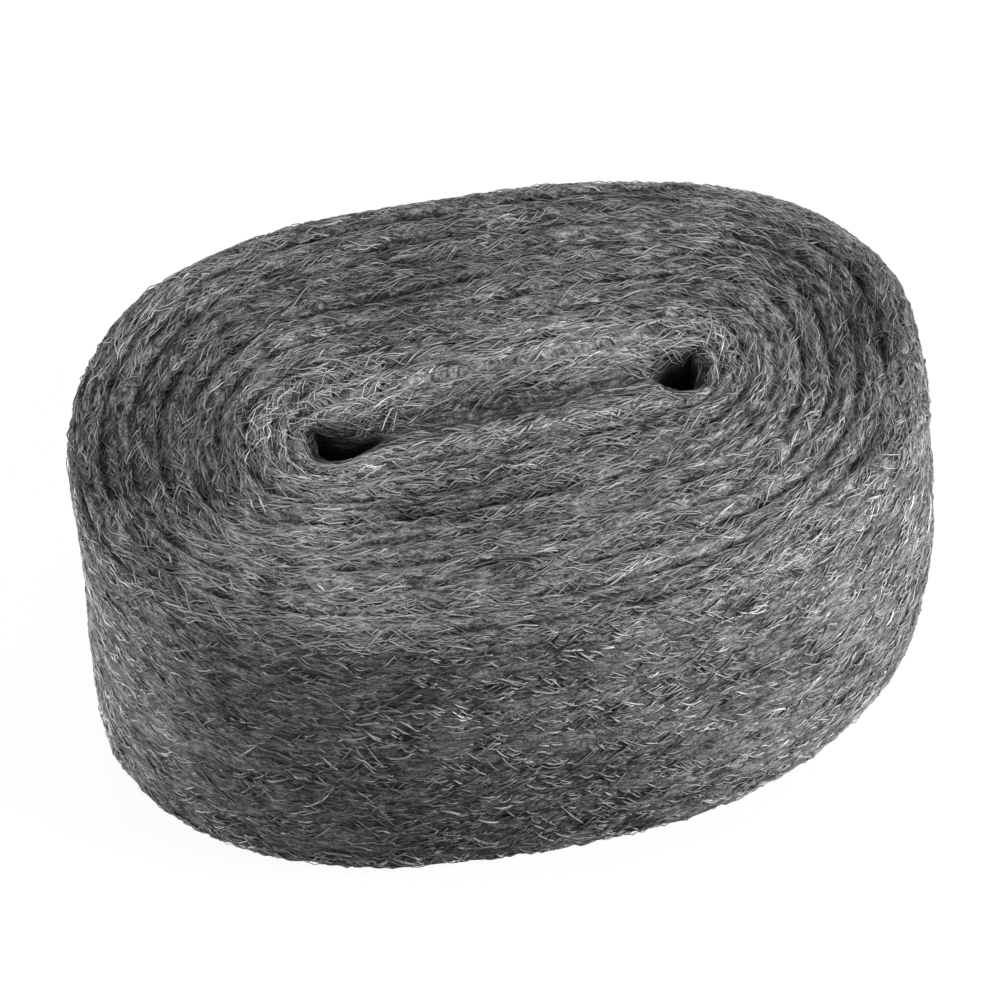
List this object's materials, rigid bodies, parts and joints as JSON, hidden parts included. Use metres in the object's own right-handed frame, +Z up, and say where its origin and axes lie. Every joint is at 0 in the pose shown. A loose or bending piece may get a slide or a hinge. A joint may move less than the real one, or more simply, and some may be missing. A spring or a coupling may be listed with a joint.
{
  "type": "steel wool roll",
  "caption": "Flat oval roll of steel wool, wound from one ribbon round two pins, with two open eyes and a closed seam at its core.",
  "frame": {"origin": "middle of the roll's box in plan, on the flat crests of the end face that it stands on", "axes": "+Z up, along the width of the ribbon; +X along the roll's long side, through both eyes; +Y across it, to the side away from the camera in the picture"},
  "size_m": [0.1598, 0.1136, 0.066],
  "materials": {
    "steel_wool": "loose bright-grey steel fibres, dark where they lie deep"
  },
  "bodies": {
    "root": {"steel_wool_roll": "steel_wool"}
  },
  "joints": []
}
